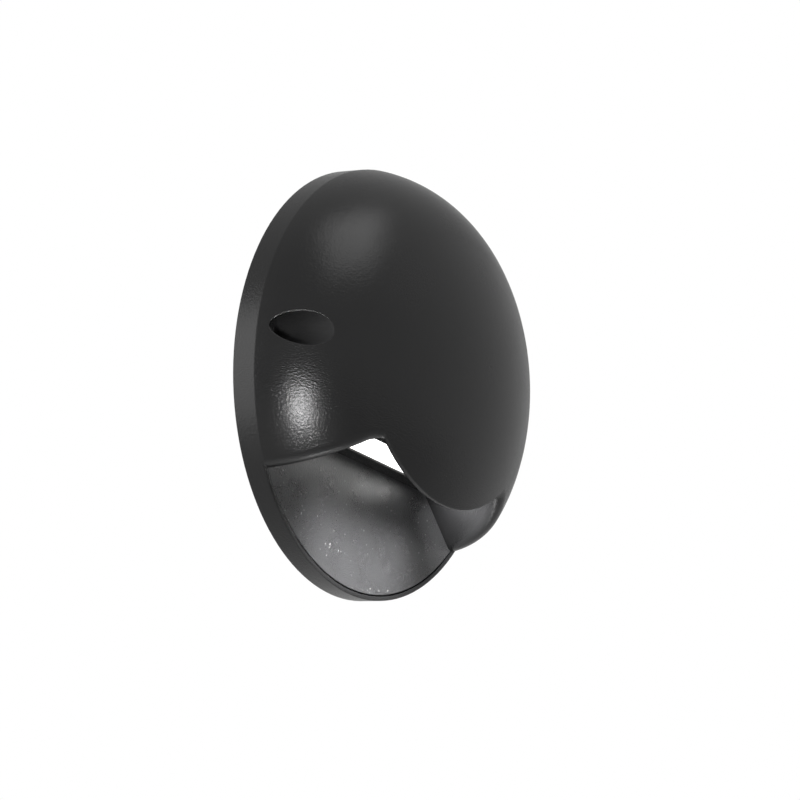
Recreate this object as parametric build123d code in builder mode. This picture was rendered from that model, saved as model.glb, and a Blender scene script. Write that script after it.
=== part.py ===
from build123d import *
from math import atan2, cos, degrees, radians, sin, sqrt
import os

os.makedirs("parts", exist_ok=True)

# Small round wall light with a hooded opening at its lower side.
# Millimetres. X to the right as seen from the front, Y into the wall, Z up.
# The origin is the centre of the wall face; "height" below means distance from the wall.

# Dome
outer_radius = 50.0
band_height = 6.0
crease_angle = 14.0
knuckle_radius = 30.0
crown_inset = 15.5
shell_wall = 2.0
foot_width = 3.5
skirt_wall = 1.0
skirt_lift = 0.3

# Opening
floor_height = 5.5
window_half_angle = 51.3
window_drop = 20.6
ceiling_drop = 19.6
ceiling_wall = 2.0
side_wall = 2.0
opening_corner = 2.0
lip_radius = 36.3
lip_drop = 29.3
hood_wall = 1.0
leg_rounding = 3.0

# Screw pockets and wall fixing
pocket_radius = 3.85
pocket_inset = 5.0
pocket_wall = 2.0
pocket_rim_rounding = 0.2
wall_screw_hole = 2.25

# Base plate
groove_width = 0.2
groove_depth = 2.5
plate_chamfer = 0.1
plate_skin = 2.5
rim_width = 3.0
rib_width = 1.6
rib_setback = 0.8
rib_count = 8
fixing_boss = 5.0

# Screws that hold the plate to the dome
base_screw_angles = (45.0, 135.0, 200.0, 340.0)
base_screw_inset = 6.0
base_screw_boss = 4.2
base_screw_shank = 1.5
base_screw_head = 3.0
base_screw_sink = 0.3
sink_angle = 90.0
socket_share = 0.7
base_screw_depth = 8.0

# Seals
gasket_width = 1.2
gasket_height = 0.8

# Cable inlet
inlet_rise = 6.0
inlet_bore = 2.6
grommet_neck = 5.5
grommet_flange = 7.5
grommet_flange_height = 1.5
inlet_ring = 9.5
inlet_ring_wall = 1.6

# Lens in the ceiling
lens_length = 46.0
lens_width = 12.0
lens_back = 10.3
lens_corner = 1.5
lens_recess = 0.3
lens_flange = 2.0
lens_flange_height = 1.5
lens_edge_rounding = 0.3

# Reflector and light sources
reflector_height = 5.5
reflector_wall = 1.2
reflector_throat_length = 33.6
reflector_throat_width = 6.6
reflector_mouth_length = 45.0
reflector_mouth_width = 11.0
led_count = 6
led_length = 2.8
led_width = 3.5
led_height = 0.7
led_board_margin = 5.3
led_board_thickness = 1.6
led_screw_margin = 2.0
pad_thickness = 0.5
pad_margin = 1.0

# Heat spreader
spreader_back = 8.5
spreader_front = 24.0
spreader_inset = 1.5
spreader_base = 3.0
fin_height = 4.0
fin_thickness = 1.4
fin_pitch = 3.6
fin_count = 3
spreader_flange = 2.0
spreader_flange_height = 9.2
spreader_post_spacing = 36.0
spreader_post_radius = 3.2
spreader_post_drop = 3.4

# Driver board
driver_length = 46.0
driver_width = 22.0
driver_rise = 22.0
driver_thickness = 1.6
standoff_height = 3.5
standoff_radius = 2.4
standoff_stub = 1.7
standoff_stub_length = 1.5
driver_screw_margin = 3.0
choke_radius = 5.5
choke_height = 8.0
choke_flange = 1.2
choke_waist = 4.6
capacitor_radius = 3.15
capacitor_height = 9.0
capacitor_pitch = 8.0
rectifier_length = 8.0
rectifier_width = 6.4
rectifier_height = 2.6
chip_length = 5.0
chip_width = 4.0
chip_height = 1.5
terminal_length = 10.0
terminal_width = 8.0
terminal_height = 9.5
terminal_pitch = 5.0
terminal_screw_radius = 1.7
terminal_entry = 1.3
capacitor_rounding = 0.6
package_chamfer = 0.3
choke_place = (7.0, 26.0)
capacitor_place = (-8.0, 27.5)
rectifier_place = (0.5, 15.5)
chip_place = (8.5, 15.5)
terminal_place = (-10.5, 16.0)

# Small screws
small_head = 2.2
small_head_height = 1.4
small_shank = 1.1
small_shank_length = 4.5
spreader_screw_head = 2.75
spreader_screw_head_height = 2.0
spreader_screw_shank = 1.5
spreader_screw_length = 7.0
drive_slot = 0.6
drive_depth = 0.7

# Leads from the driver to the light sources
lead_radius = 0.6
lead_bend = 2.5
lead_gap = 2.5
lead_heights = (13.6, 19.6)
lead_starts = (13.2, 15.8)
lead_margin = 2.0
lead_shoulder = 4.0
lead_overlap = 2.0

# Clearances
lens_clearance = 0.2
thread_clearance = 0.05
shank_clearance = 0.2
end_clearance = 0.8
plate_clearance = 0.1
stub_clearance = 0.02
sink_clearance = 0.02

# Derived places and sizes
knuckle_centre = (
    outer_radius - knuckle_radius * cos(radians(crease_angle)),
    band_height - knuckle_radius * sin(radians(crease_angle)),
)
crown_edge = outer_radius - crown_inset
crown_radius = knuckle_radius * crown_edge / (crown_edge - knuckle_centre[0])
crown_centre = knuckle_centre[1] - sqrt((crown_radius - knuckle_radius) ** 2 - knuckle_centre[0] ** 2)
dome_height = crown_centre + crown_radius
skirt_inner = outer_radius - skirt_wall
plate_radius = skirt_inner - plate_clearance
seat_radius = outer_radius - foot_width
dish_depth = floor_height - plate_skin
pocket_places = [(-(outer_radius - pocket_inset), 0), (outer_radius - pocket_inset, 0)]
base_screw_radius = outer_radius - base_screw_inset
base_screw_length = floor_height + base_screw_depth - end_clearance - base_screw_sink
base_screw_places = [
    (base_screw_radius * cos(radians(a)), base_screw_radius * sin(radians(a))) for a in base_screw_angles
]
lens_centre = -(lens_back + lens_width / 2)
ceiling_top = -ceiling_drop + ceiling_wall
lens_flange_bottom = ceiling_top + gasket_height
lens_flange_top = lens_flange_bottom + lens_flange_height
led_face = lens_flange_top + reflector_height
led_back = led_face + led_board_thickness
spreader_bottom = led_back + pad_thickness
spreader_top = spreader_bottom + spreader_base
led_pitch = reflector_throat_length / led_count
led_screw_spacing = reflector_throat_length + 2 * (reflector_wall + small_head + led_screw_margin)
led_board_length = led_screw_spacing + 2 * led_board_margin
spreader_length = led_board_length - 2 * spreader_inset
post_rise = spreader_bottom + spreader_flange_height - spreader_post_drop
post_places = [(-spreader_post_spacing / 2, post_rise), (spreader_post_spacing / 2, post_rise)]
board_back = floor_height + standoff_height
board_front = board_back + driver_thickness
standoff_x = driver_length / 2 - driver_screw_margin
standoff_z = driver_width / 2 - driver_screw_margin
led_screw_places = [(-led_screw_spacing / 2, lens_centre), (led_screw_spacing / 2, lens_centre)]
far = 2 * outer_radius


def front(height):
    """Plane parallel to the wall at a height above it, facing the viewer."""
    return Plane.XZ.offset(height)


def back_at(x, height, z):
    """Plane at a point, facing the wall."""
    return Plane(origin=(x, -height, z), x_dir=(1, 0, 0), z_dir=(0, 1, 0))


def finish(builder, label):
    """Label a piece and write its file."""
    builder.part.label = label
    export_step(builder.part, f"parts/{label}.step")


def dome_section(inset, foot):
    """Half section of the dome, inset from its outer face, from a foot height to the crown."""
    band = outer_radius - inset
    knuckle = knuckle_radius - inset
    start = -degrees(atan2(sqrt(knuckle**2 - (band - knuckle_centre[0]) ** 2), band - knuckle_centre[0]))
    join = -degrees(atan2(knuckle_centre[1] - crown_centre, knuckle_centre[0]))
    with BuildSketch() as section:
        with BuildLine():
            turn = CenterArc((knuckle_centre[0], -knuckle_centre[1]), knuckle, start, join - start)
            crown = CenterArc((0, -crown_centre), crown_radius - inset, join, -90 - join)
            Polyline(turn @ 0, (band, -foot), (0, -foot), crown @ 1)
        make_face()
    return section.sketch


def opening_outline(top):
    """Front view of the opening's walls: a wedge under a level top, with rounded upper corners."""
    reach = far * sin(radians(window_half_angle))
    drop = far * cos(radians(window_half_angle))
    shoulder = top * reach / drop
    with BuildSketch() as outline:
        with BuildLine():
            Polyline(
                (-shoulder, -top),
                (shoulder, -top),
                (reach, -drop),
                (-reach, -drop),
                close=True,
            )
        make_face()
        fillet(outline.vertices().group_by(Axis.Y)[-1], opening_corner)
    return outline.sketch


def chamber_outline():
    """Front view of the dry chamber beside and above the opening."""
    with BuildSketch() as outline:
        Circle(seat_radius)
        offset(opening_outline(ceiling_drop), amount=side_wall, mode=Mode.SUBTRACT)
        with Locations(*pocket_places):
            Circle(pocket_radius + pocket_wall, mode=Mode.SUBTRACT)
        with Locations(*base_screw_places):
            Circle(base_screw_boss, mode=Mode.SUBTRACT)
    return outline.sketch


def seal_outline():
    """Front view of the seal that follows the dry chamber's edge."""
    with BuildSketch() as outline:
        offset(chamber_outline(), amount=gasket_width)
        add(chamber_outline(), mode=Mode.SUBTRACT)
    return outline.sketch


def pan_screw(head, head_height, shank, length):
    """Slotted pan-head screw along Z, its head resting on the XY plane."""
    with BuildPart() as screw:
        Cylinder(head, head_height, align=(Align.CENTER, Align.CENTER, Align.MIN))
        fillet(screw.edges().filter_by(GeomType.CIRCLE).group_by(Axis.Z)[-1], head_height / 3)
        with BuildSketch(Plane.XY.offset(head_height)):
            Rectangle(2 * head, drive_slot)
        extrude(amount=-drive_depth, mode=Mode.SUBTRACT)
        Cylinder(shank, length, align=(Align.CENTER, Align.CENTER, Align.MAX))
    return screw.part


def countersunk_screw(head, shank, length):
    """Countersunk screw along Z with a hexagon socket, its flat top on the XY plane."""
    with BuildPart() as screw:
        Cone(shank, head, head - shank, align=(Align.CENTER, Align.CENTER, Align.MAX))
        Cylinder(shank, length, align=(Align.CENTER, Align.CENTER, Align.MAX))
        with BuildSketch():
            RegularPolygon(shank * socket_share, 6)
        extrude(amount=-(head - shank), mode=Mode.SUBTRACT)
    return screw.part


# Hollow under the hood
with BuildPart() as hood_hollow:
    add(dome_section(hood_wall, floor_height))
    revolve(axis=Axis.Y)
    with BuildSketch(front(floor_height)):
        add(opening_outline(ceiling_drop))
    extrude(amount=dome_height, mode=Mode.INTERSECT)

# Dry chamber with the two posts that carry the heat spreader left standing
with BuildPart() as dry_chamber:
    add(dome_section(shell_wall, floor_height))
    revolve(axis=Axis.Y)
    with BuildSketch(front(floor_height)):
        add(chamber_outline())
    extrude(amount=dome_height, mode=Mode.INTERSECT)
    with BuildSketch(front(spreader_front)):
        with Locations(*post_places):
            Circle(spreader_post_radius)
    extrude(amount=dome_height, mode=Mode.SUBTRACT)

# Cast dome
with BuildPart() as dome_housing:
    add(dome_section(0, floor_height))
    revolve(axis=Axis.Y)
    with BuildSketch(front(floor_height)):
        with Locations(*pocket_places):
            Circle(pocket_radius)
    extrude(amount=dome_height, mode=Mode.SUBTRACT)
    fillet(dome_housing.edges().filter_by(GeomType.BSPLINE), pocket_rim_rounding)
    with BuildSketch(front(floor_height)):
        add(opening_outline(window_drop))
        with Locations((0, lip_radius - lip_drop)):
            Circle(lip_radius, mode=Mode.SUBTRACT)
    extrude(amount=dome_height, mode=Mode.SUBTRACT)
    leg_faces = dome_housing.faces().filter_by(GeomType.PLANE).filter_by(Axis.Y, reverse=True)
    fillet(leg_faces.edges().filter_by(GeomType.LINE, reverse=True), leg_rounding)
    add(hood_hollow.part, mode=Mode.SUBTRACT)
    add(dry_chamber.part, mode=Mode.SUBTRACT)
    with BuildSketch(front(skirt_lift)):
        Circle(outer_radius)
        Circle(skirt_inner, mode=Mode.SUBTRACT)
    extrude(amount=floor_height - skirt_lift)
    with BuildSketch(front(floor_height)):
        add(seal_outline())
    extrude(amount=gasket_height, mode=Mode.SUBTRACT)
    with BuildSketch(front(floor_height)):
        with Locations(*base_screw_places):
            Circle(base_screw_shank + thread_clearance)
    extrude(amount=base_screw_depth, mode=Mode.SUBTRACT)
    with BuildSketch(front(spreader_front)):
        with Locations(*post_places):
            Circle(spreader_screw_shank + thread_clearance)
    extrude(amount=spreader_screw_length - spreader_flange, mode=Mode.SUBTRACT)
    with BuildSketch(Plane.XY.offset(-ceiling_drop)):
        with Locations((0, lens_centre)):
            RectangleRounded(lens_length, lens_width, lens_corner)
    extrude(amount=ceiling_wall, mode=Mode.SUBTRACT)
finish(dome_housing, "dome_housing")

# Seal between dome and plate
with BuildPart() as base_gasket:
    with BuildSketch(front(floor_height)):
        add(seal_outline())
    extrude(amount=gasket_height)
finish(base_gasket, "base_gasket")

# Plate that closes the back and shows as the floor of the opening
with BuildPart() as base_plate:
    with BuildSketch(front(0)):
        Circle(plate_radius)
    extrude(amount=floor_height)
    with BuildSketch(front(floor_height)):
        Circle(plate_radius)
        Circle(plate_radius - groove_width, mode=Mode.SUBTRACT)
    extrude(amount=-groove_depth, mode=Mode.SUBTRACT)
    chamfer(base_plate.edges().group_by(Axis.Y)[0], plate_chamfer)
    with BuildSketch(front(0)):
        Circle(plate_radius - rim_width)
        with Locations(*pocket_places, *base_screw_places):
            Circle(fixing_boss, mode=Mode.SUBTRACT)
        with Locations((0, inlet_rise)):
            Circle(inlet_ring, mode=Mode.SUBTRACT)
            Circle(inlet_ring - inlet_ring_wall)
    extrude(amount=dish_depth, mode=Mode.SUBTRACT)
    with BuildSketch(front(rib_setback)):
        with PolarLocations(0, rib_count):
            Rectangle(plate_radius - rim_width / 2, rib_width, align=(Align.MIN, Align.CENTER))
        with Locations((0, inlet_rise)):
            Circle(inlet_ring - inlet_ring_wall / 2, mode=Mode.SUBTRACT)
    extrude(amount=dish_depth - rib_setback)
    with BuildSketch(front(floor_height)):
        with Locations((0, driver_rise)):
            with GridLocations(2 * standoff_x, 2 * standoff_z, 2, 2):
                Circle(standoff_stub + stub_clearance)
    extrude(amount=-standoff_stub_length, mode=Mode.SUBTRACT)
    with BuildSketch(front(0)):
        with Locations(*pocket_places):
            Circle(wall_screw_hole)
        with Locations((0, inlet_rise)):
            Circle(grommet_neck)
    extrude(amount=floor_height, mode=Mode.SUBTRACT)
    with Locations(*[back_at(x, 0, z) for x, z in base_screw_places]):
        CounterSinkHole(
            base_screw_shank + shank_clearance,
            base_screw_head + base_screw_sink + sink_clearance,
            counter_sink_angle=sink_angle,
        )
finish(base_plate, "base_plate")

# Screws from the back into the dome's bosses
with BuildPart() as base_screws:
    with Locations(*[back_at(x, base_screw_sink, z) for x, z in base_screw_places]):
        add(countersunk_screw(base_screw_head, base_screw_shank, base_screw_length))
finish(base_screws, "base_screws")

# Rubber inlet for the supply cable
with BuildPart() as cable_grommet:
    with BuildSketch(front(dish_depth - grommet_flange_height)):
        with Locations((0, inlet_rise)):
            Circle(grommet_flange)
    extrude(amount=grommet_flange_height)
    with BuildSketch(front(dish_depth)):
        with Locations((0, inlet_rise)):
            Circle(grommet_neck)
    extrude(amount=plate_skin)
    with BuildSketch(front(floor_height)):
        with Locations((0, inlet_rise)):
            Circle(grommet_flange)
    extrude(amount=grommet_flange_height)
    with BuildSketch(front(0)):
        with Locations((0, inlet_rise)):
            Circle(inlet_bore)
    extrude(amount=floor_height + grommet_flange_height, mode=Mode.SUBTRACT)
finish(cable_grommet, "cable_grommet")

# Frosted window set into the ceiling from above, with a flange that seals on it
with BuildPart() as lens:
    with BuildSketch(Plane.XY.offset(lens_recess - ceiling_drop)):
        with Locations((0, lens_centre)):
            RectangleRounded(
                lens_length - 2 * lens_clearance,
                lens_width - 2 * lens_clearance,
                lens_corner - lens_clearance,
            )
    extrude(amount=lens_flange_bottom + ceiling_drop - lens_recess)
    fillet(lens.edges().group_by(Axis.Z)[0], lens_edge_rounding)
    with BuildSketch(Plane.XY.offset(lens_flange_bottom)):
        with Locations((0, lens_centre)):
            RectangleRounded(lens_length + 2 * lens_flange, lens_width + 2 * lens_flange, lens_corner)
    extrude(amount=lens_flange_height)
finish(lens, "lens")

# Seal between lens flange and ceiling
with BuildPart() as lens_gasket:
    with BuildSketch(Plane.XY.offset(ceiling_top)):
        with Locations((0, lens_centre)):
            RectangleRounded(lens_length + 2 * lens_flange, lens_width + 2 * lens_flange, lens_corner)
            RectangleRounded(lens_length, lens_width, lens_corner, mode=Mode.SUBTRACT)
    extrude(amount=gasket_height)
finish(lens_gasket, "lens_gasket")

# White trough that widens from the light sources to the lens
with BuildPart() as reflector:
    for margin, mode in ((reflector_wall, Mode.ADD), (0, Mode.SUBTRACT)):
        with BuildSketch(Plane.XY.offset(lens_flange_top)):
            with Locations((0, lens_centre)):
                Rectangle(reflector_mouth_length + 2 * margin, reflector_mouth_width + 2 * margin)
        with BuildSketch(Plane.XY.offset(led_face)):
            with Locations((0, lens_centre)):
                Rectangle(reflector_throat_length + 2 * margin, reflector_throat_width + 2 * margin)
        loft(mode=mode)
finish(reflector, "reflector")

# Metal-cored board with its row of light sources facing down
with BuildPart() as led_board:
    with BuildSketch(Plane.XY.offset(led_face)):
        with Locations((0, lens_centre)):
            Rectangle(led_board_length, lens_width)
        with Locations(*led_screw_places):
            Circle(small_shank + shank_clearance, mode=Mode.SUBTRACT)
    extrude(amount=led_board_thickness)
finish(led_board, "led_board")

with BuildPart() as leds:
    with BuildSketch(Plane.XY.offset(led_face)):
        with Locations((0, lens_centre)):
            with GridLocations(led_pitch, 1, led_count, 1):
                Rectangle(led_length, led_width)
    extrude(amount=-led_height)
finish(leds, "leds")

# Heat path from the board to the dome
with BuildPart() as thermal_pad:
    with BuildSketch(Plane.XY.offset(led_back)):
        with Locations((0, lens_centre)):
            Rectangle(spreader_length - 2 * pad_margin, lens_width - 2 * pad_margin)
        with Locations(*led_screw_places):
            Circle(small_shank + shank_clearance, mode=Mode.SUBTRACT)
    extrude(amount=pad_thickness)
finish(thermal_pad, "thermal_pad")

with BuildPart() as heat_spreader:
    with BuildSketch(Plane.YZ):
        with Locations((-spreader_front, spreader_bottom)):
            Rectangle(spreader_front - spreader_back, spreader_base, align=Align.MIN)
            Rectangle(spreader_flange, spreader_flange_height, align=Align.MIN)
        with Locations((-spreader_back - fin_thickness, spreader_top)):
            with GridLocations(fin_pitch, 1, fin_count, 1, align=(Align.MAX, Align.CENTER)):
                Rectangle(fin_thickness, fin_height, align=Align.MIN)
    extrude(amount=spreader_length / 2, both=True)
    with BuildSketch(Plane.XY.offset(spreader_bottom)):
        with Locations(*led_screw_places):
            Circle(small_shank + thread_clearance)
    extrude(amount=spreader_base, mode=Mode.SUBTRACT)
    with BuildSketch(front(spreader_front)):
        with Locations(*post_places):
            Circle(spreader_screw_shank + shank_clearance)
    extrude(amount=-spreader_flange, mode=Mode.SUBTRACT)
finish(heat_spreader, "heat_spreader")

with BuildPart() as led_board_screws:
    with Locations(*[Plane(origin=(x, y, led_face), z_dir=(0, 0, -1)) for x, y in led_screw_places]):
        add(pan_screw(small_head, small_head_height, small_shank, small_shank_length))
finish(led_board_screws, "led_board_screws")

with BuildPart() as heat_spreader_screws:
    with Locations(*[back_at(x, spreader_front - spreader_flange, z) for x, z in post_places]):
        add(
            pan_screw(
                spreader_screw_head,
                spreader_screw_head_height,
                spreader_screw_shank,
                spreader_screw_length - end_clearance,
            )
        )
finish(heat_spreader_screws, "heat_spreader_screws")

# Four standoffs pressed into the plate, and the driver board on them
with BuildPart() as driver_standoffs:
    with BuildSketch(front(floor_height)):
        with Locations((0, driver_rise)):
            with GridLocations(2 * standoff_x, 2 * standoff_z, 2, 2):
                Circle(standoff_radius)
    extrude(amount=standoff_height)
    with BuildSketch(front(floor_height)):
        with Locations((0, driver_rise)):
            with GridLocations(2 * standoff_x, 2 * standoff_z, 2, 2):
                Circle(standoff_stub)
    extrude(amount=-standoff_stub_length)
    with BuildSketch(front(board_back)):
        with Locations((0, driver_rise)):
            with GridLocations(2 * standoff_x, 2 * standoff_z, 2, 2):
                Circle(small_shank + thread_clearance)
    extrude(amount=driver_thickness - small_shank_length, mode=Mode.SUBTRACT)
finish(driver_standoffs, "driver_standoffs")

with BuildPart() as driver_board:
    with BuildSketch(front(board_back)):
        with Locations((0, driver_rise)):
            Rectangle(driver_length, driver_width)
            with GridLocations(2 * standoff_x, 2 * standoff_z, 2, 2):
                Circle(small_shank + shank_clearance, mode=Mode.SUBTRACT)
    extrude(amount=driver_thickness)
finish(driver_board, "driver_board")

with BuildPart() as driver_screws:
    with Locations(front(board_front)):
        with Locations((0, driver_rise)):
            with GridLocations(2 * standoff_x, 2 * standoff_z, 2, 2):
                add(pan_screw(small_head, small_head_height, small_shank, small_shank_length - end_clearance))
finish(driver_screws, "driver_screws")

with BuildPart() as driver_choke:
    with BuildSketch(front(board_front)):
        with Locations(choke_place):
            Circle(choke_radius)
    extrude(amount=choke_height)
    with BuildSketch(front(board_front + choke_flange)):
        with Locations(choke_place):
            Circle(choke_radius)
            Circle(choke_waist, mode=Mode.SUBTRACT)
    extrude(amount=choke_height - 2 * choke_flange, mode=Mode.SUBTRACT)
finish(driver_choke, "driver_choke")

with BuildPart() as driver_capacitors:
    with BuildSketch(front(board_front)):
        with Locations(capacitor_place):
            with GridLocations(capacitor_pitch, 1, 2, 1):
                Circle(capacitor_radius)
    extrude(amount=capacitor_height)
    fillet(driver_capacitors.edges().group_by(Axis.Y)[0], capacitor_rounding)
finish(driver_capacitors, "driver_capacitors")

with BuildPart() as driver_rectifier:
    with BuildSketch(front(board_front)):
        with Locations(rectifier_place):
            Rectangle(rectifier_length, rectifier_width)
    extrude(amount=rectifier_height)
    chamfer(driver_rectifier.edges().group_by(Axis.Y)[0], package_chamfer)
finish(driver_rectifier, "driver_rectifier")

with BuildPart() as driver_chip:
    with BuildSketch(front(board_front)):
        with Locations(chip_place):
            Rectangle(chip_length, chip_width)
    extrude(amount=chip_height)
    chamfer(driver_chip.edges().group_by(Axis.Y)[0], package_chamfer)
finish(driver_chip, "driver_chip")

# Terminal block for the supply cable, its entries facing down
with BuildPart() as terminal_block:
    with BuildSketch(front(board_front)):
        with Locations(terminal_place):
            Rectangle(terminal_length, terminal_width)
    extrude(amount=terminal_height)
    with BuildSketch(front(board_front + terminal_height)):
        with Locations(terminal_place):
            with GridLocations(terminal_pitch, 1, 2, 1):
                Circle(terminal_screw_radius + thread_clearance)
    extrude(amount=-terminal_height / 2, mode=Mode.SUBTRACT)
    with BuildSketch(Plane.XY.offset(terminal_place[1] - terminal_width / 2)):
        with Locations((terminal_place[0], -board_front - terminal_height / 4)):
            with GridLocations(terminal_pitch, 1, 2, 1):
                Circle(terminal_entry)
    extrude(amount=terminal_width / 2 - terminal_screw_radius - thread_clearance, mode=Mode.SUBTRACT)
finish(terminal_block, "terminal_block")

with BuildPart() as terminal_screws:
    with BuildSketch(front(board_front + terminal_height / 2)):
        with Locations(terminal_place):
            with GridLocations(terminal_pitch, 1, 2, 1):
                Circle(terminal_screw_radius)
    extrude(amount=terminal_height / 2 - drive_depth)
    with BuildSketch(front(board_front + terminal_height - drive_depth)):
        with Locations(terminal_place):
            with GridLocations(terminal_pitch, 1, 2, 1):
                Rectangle(2 * terminal_screw_radius, drive_slot)
    extrude(amount=-drive_depth, mode=Mode.SUBTRACT)
finish(terminal_screws, "terminal_screws")


def lead(start_x, height):
    """Insulated wire from the driver board, round the spreader's end, to the board of light sources."""
    pad_z = led_face - lead_radius
    lead_side = led_board_length / 2 + lead_gap
    start_z = driver_rise - driver_width / 2 + lead_margin
    with BuildPart() as wire:
        with BuildLine() as route:
            FilletPolyline(
                (start_x, -board_front, start_z),
                (start_x, -height, start_z),
                (lead_side, -height, lead_shoulder),
                (lead_side, -height, pad_z),
                (led_board_length / 2 - lead_overlap, -height, pad_z),
                radius=lead_bend,
            )
        with BuildSketch(Plane(route.line @ 0, z_dir=route.line % 0)):
            Circle(lead_radius)
        sweep()
    return wire


positive_lead = lead(lead_starts[0], lead_heights[0])
finish(positive_lead, "positive_lead")
negative_lead = lead(lead_starts[1], lead_heights[1])
finish(negative_lead, "negative_lead")
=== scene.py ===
"""Hooded round wall light: finishes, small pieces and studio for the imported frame."""

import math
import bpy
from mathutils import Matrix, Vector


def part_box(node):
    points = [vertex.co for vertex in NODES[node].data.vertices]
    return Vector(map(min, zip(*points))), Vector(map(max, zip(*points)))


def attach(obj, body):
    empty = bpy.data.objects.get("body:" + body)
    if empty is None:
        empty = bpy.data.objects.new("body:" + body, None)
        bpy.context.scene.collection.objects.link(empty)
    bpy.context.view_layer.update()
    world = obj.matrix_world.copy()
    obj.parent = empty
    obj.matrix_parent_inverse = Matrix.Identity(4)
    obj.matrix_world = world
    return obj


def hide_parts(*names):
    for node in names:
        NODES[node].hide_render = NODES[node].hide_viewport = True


bl_info = {
    "name": "Hooded Wall Light",
    "version": (1, 0, 0),
    "blender": (4, 5, 0),
    "location": "View3D > Sidebar > Wall Light",
    "description": "Dresses the frame of a round outdoor wall light and sets up its studio",
    "category": "Object",
}

import bpy
import bmesh
from mathutils import Matrix, Vector

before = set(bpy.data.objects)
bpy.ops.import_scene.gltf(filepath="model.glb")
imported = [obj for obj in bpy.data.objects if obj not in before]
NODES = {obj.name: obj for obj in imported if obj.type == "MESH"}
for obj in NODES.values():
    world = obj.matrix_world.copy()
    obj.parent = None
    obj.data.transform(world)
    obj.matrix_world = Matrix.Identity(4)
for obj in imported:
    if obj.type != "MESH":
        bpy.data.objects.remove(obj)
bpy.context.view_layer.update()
BODY = "root"

SCREW_LOW, SCREW_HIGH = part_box("base_screws")
GROMMET_LOW, GROMMET_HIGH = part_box("cable_grommet")
LENS_LOW, LENS_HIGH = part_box("lens")
DOME_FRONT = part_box("dome_housing")[0].y

# How the coat of the plate differs from that of the dome. Its colour factor is painted light: the same
# coat, painted paler for the light that falls on the floor of the opening.
PLATE_PAINTED_LIGHT_FACTOR = 4.0
PLATE_EXTRA_ROUGHNESS = 0.06
PLATE_RELIEF_FACTOR = 1.2
PLATE_EDGE_FACTOR = 0.2

# Facets round the turned pieces.
INLET_STEPS = 72
SCREW_STEPS = 48

# Vertices of the frame's base screws that lie this close together belong to one screw.
BASE_SCREW_COUNT = 4
BASE_SCREW_REACH = 0.02

# Numbers of a Mix node's two inputs and its output, by data type.
MIX_SOCKETS = {"FLOAT": (2, 3, 0), "VECTOR": (4, 5, 1), "RGBA": (6, 7, 2)}


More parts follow.
